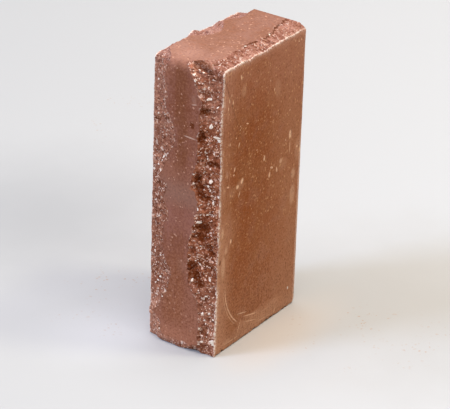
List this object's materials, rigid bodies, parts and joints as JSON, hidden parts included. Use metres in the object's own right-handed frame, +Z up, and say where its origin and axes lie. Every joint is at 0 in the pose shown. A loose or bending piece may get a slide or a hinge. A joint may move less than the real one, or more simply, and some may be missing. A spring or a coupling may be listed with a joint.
{
  "type": "corner facing brick",
  "caption": "Solid corner facing brick of brown-red pressed body, with rough chipped margins along the stretcher and header faces.",
  "frame": {"origin": "centre of the plain end that the brick stands on, on the floor plane (bottom centre of the bounding box)", "axes": "+Z up the brick's length, from its plain end to its chipped header face; X through its thickness, with the two flat beds at -X and +X; -Y out of the chipped stretcher face"},
  "size_m": [0.065, 0.12, 0.25],
  "materials": {
    "brick_body": "matte"
  },
  "bodies": {
    "root": {"brick": "brick_body"}
  },
  "joints": []
}
